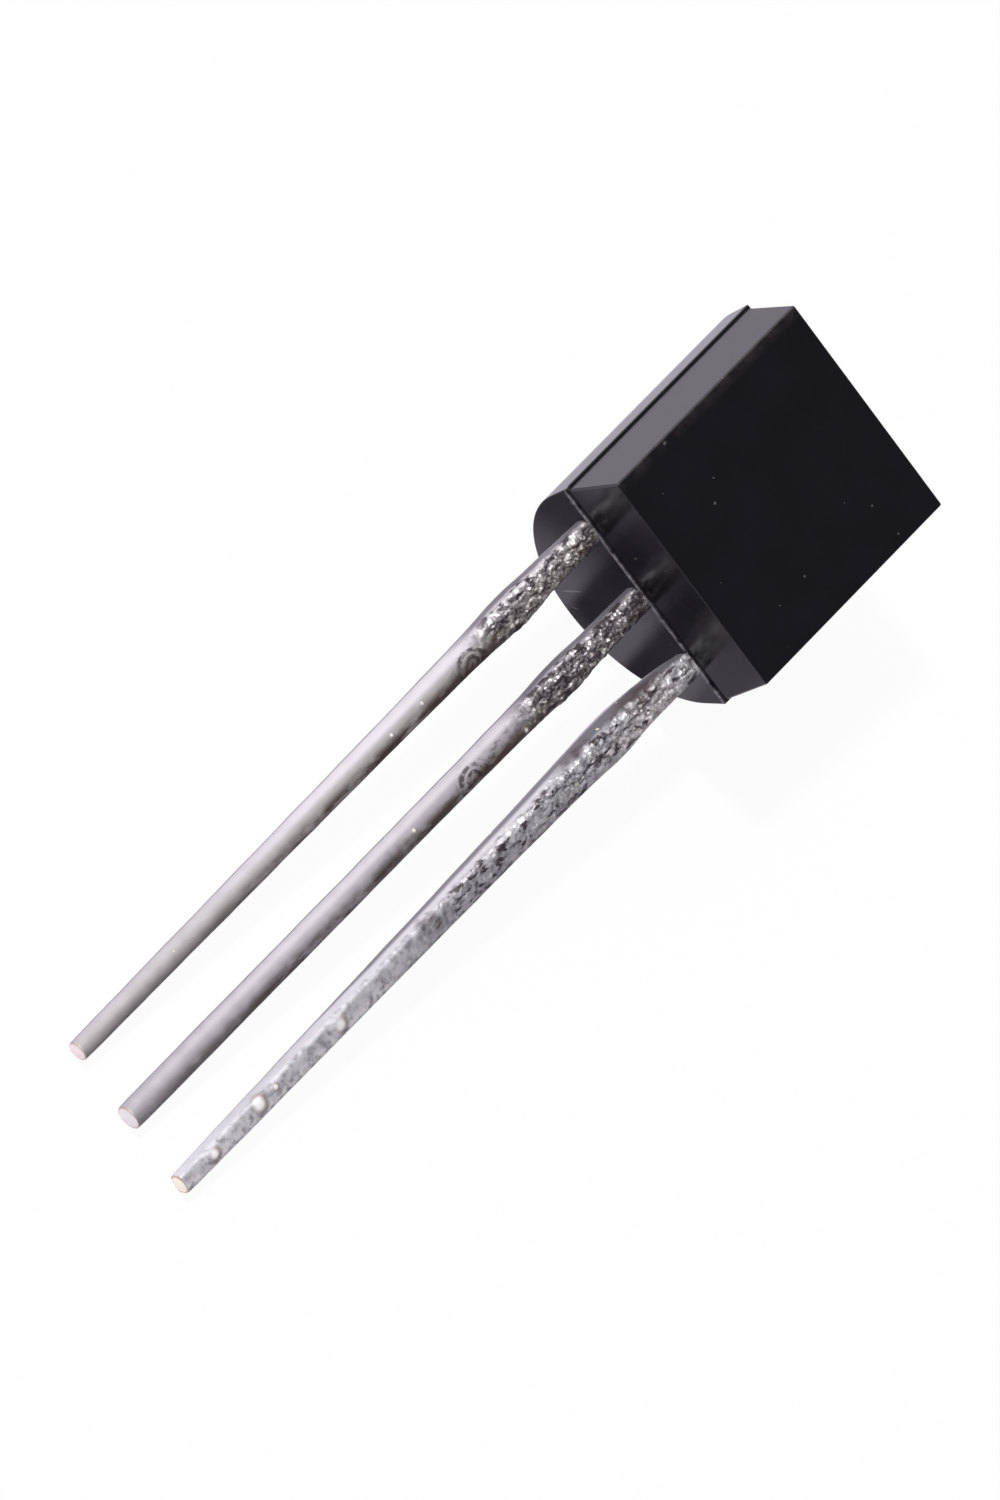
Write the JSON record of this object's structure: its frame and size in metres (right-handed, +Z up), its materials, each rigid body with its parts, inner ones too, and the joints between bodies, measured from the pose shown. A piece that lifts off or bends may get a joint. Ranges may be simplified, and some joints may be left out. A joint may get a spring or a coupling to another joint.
{
  "type": "to-92 transistor",
  "caption": "Small-signal transistor in a black moulded TO-92 body with a flat face and a round back, on straight tinned leads, with its lead frame, die and bond wires inside.",
  "frame": {"origin": "On the surface the part lies on, below the middle of the part's outline seen from above.", "axes": "+Z up, away from the surface. The part lies on its round back with the flat face up. +Y runs from the lead tips toward the top end of the body, level with the surface. +X runs from pin 1 to pin 3."},
  "size_m": [0.0042, 0.017, 0.0042],
  "materials": {
    "resin": "gloss",
    "tinned_lead": "satin",
    "solder": "matte",
    "silicon": "polished",
    "gold": "polished"
  },
  "bodies": {
    "root": {"moulded_body": "resin", "emitter_lead": "tinned_lead", "base_lead": "tinned_lead", "collector_lead": "tinned_lead", "die_attach": "solder", "silicon_die": "silicon", "emitter_wire": "gold", "base_wire": "gold"}
  },
  "joints": []
}
